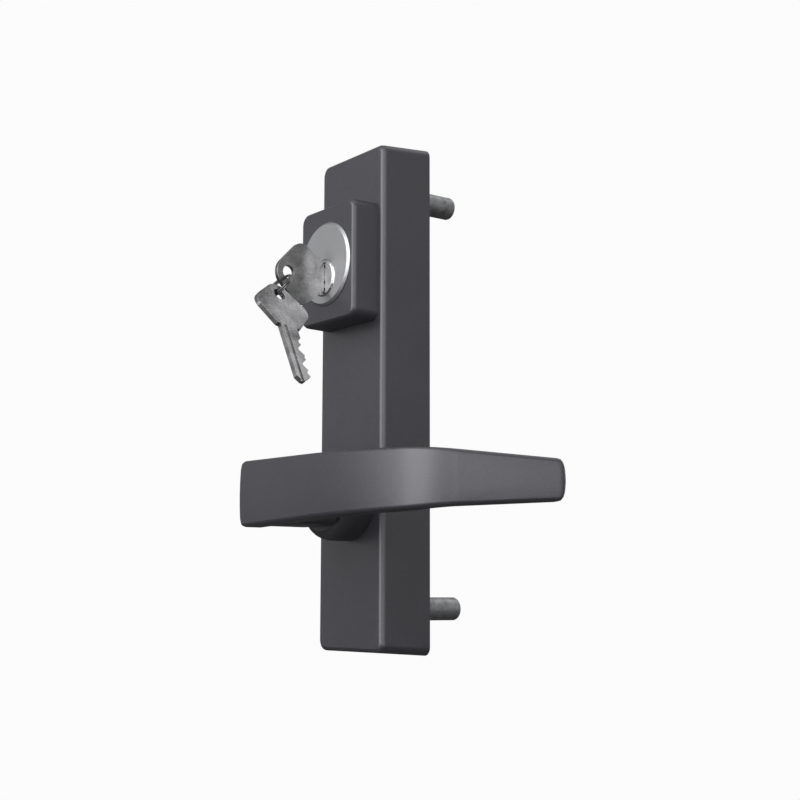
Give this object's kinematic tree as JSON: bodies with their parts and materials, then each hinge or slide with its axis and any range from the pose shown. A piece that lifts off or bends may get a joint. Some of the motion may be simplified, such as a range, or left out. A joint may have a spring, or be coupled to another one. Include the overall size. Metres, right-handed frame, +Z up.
{
  "type": "lever door lock",
  "caption": "Outside lever trim for an exit door: tall drafted escutcheon, keyed rim cylinder in a raised guard, return lever that lifts a latch finger through a rack and sector gear.",
  "frame": {"origin": "centre of the escutcheon on the plane where it rests against the door", "axes": "+X right as seen from outside, along the lever; +Y into the door; +Z up"},
  "size_m": [0.1362, 0.1052, 0.2058],
  "materials": {
    "dark_coat": "fine satin powder coat, near black grey",
    "satin_chrome": "satin",
    "bright_chrome": "polished",
    "nickel": "rolled nickel silver",
    "ring_steel": "polished wire",
    "post_steel": "turned, dull",
    "zinc_plate": "zinc plated sheet",
    "screw_steel": "zinc plated",
    "pin_brass": "turned",
    "bronze": "sintered bronze",
    "spring_steel": "drawn wire",
    "gear_steel": "sintered steel"
  },
  "bodies": {
    "housing": {"escutcheon": "dark_coat", "cylinder_guard": "dark_coat", "guard_screws": "screw_steel", "lever_collar": "dark_coat", "hub_bushing": "bronze", "back_plate": "zinc_plate", "plate_screws": "screw_steel", "upper_post": "post_steel", "lower_post": "post_steel", "cylinder_shell": "satin_chrome", "cylinder_nut": "zinc_plate", "driver_pins": "pin_brass", "pin_springs": "spring_steel", "chamber_cover": "pin_brass", "stop_pin": "screw_steel", "return_spring": "spring_steel", "bar_guides": "zinc_plate"},
    "lever": {"lever_handle": "dark_coat", "lever_spindle": "zinc_plate", "lever_set_screw": "screw_steel", "hub_gear": "gear_steel", "retaining_ring": "spring_steel"},
    "lift_bar": {"lift_bar": "gear_steel", "lift_finger": "gear_steel"},
    "plug": {"cylinder_plug": "bright_chrome", "key_pins": "pin_brass", "plug_cap": "satin_chrome", "tailpiece": "zinc_plate", "key": "nickel"},
    "ring": {"key_ring": "ring_steel"},
    "second_key": {"spare_key": "nickel"}
  },
  "joints": [
    {"name": "lever_turn", "type": "hinge", "parent": "housing", "child": "lever", "pos_m": [0, -0.0232, -0.04], "axis": [0, 1, 0], "range_deg": [0, 45], "stiffness_Nm_per_rad": 1, "springref_deg": -28.65},
    {"name": "bar_lift", "type": "slide", "parent": "housing", "child": "lift_bar", "axis": [0, 0, 1], "range_m": [0, 0.0072]},
    {"name": "plug_turn", "type": "hinge", "parent": "housing", "child": "plug", "pos_m": [0, -0.0366, 0.0478], "axis": [0, 1, 0], "range_deg": [-90, 90]},
    {"name": "ring_swing", "type": "hinge", "parent": "plug", "child": "ring", "pos_m": [0, -0.054, 0.0463], "axis": [-1, 0, 0], "range_deg": [-6, 50]},
    {"name": "spare_swing", "type": "hinge", "parent": "ring", "child": "second_key", "pos_m": [0.00435, -0.06128, 0.03762], "axis": [0.8348, 0.1593, 0.527], "range_deg": [-20, 0]}
  ],
  "couplings": [
    {"joint": "bar_lift", "follows": "lever_turn", "m_per_rad": 0.009}
  ]
}
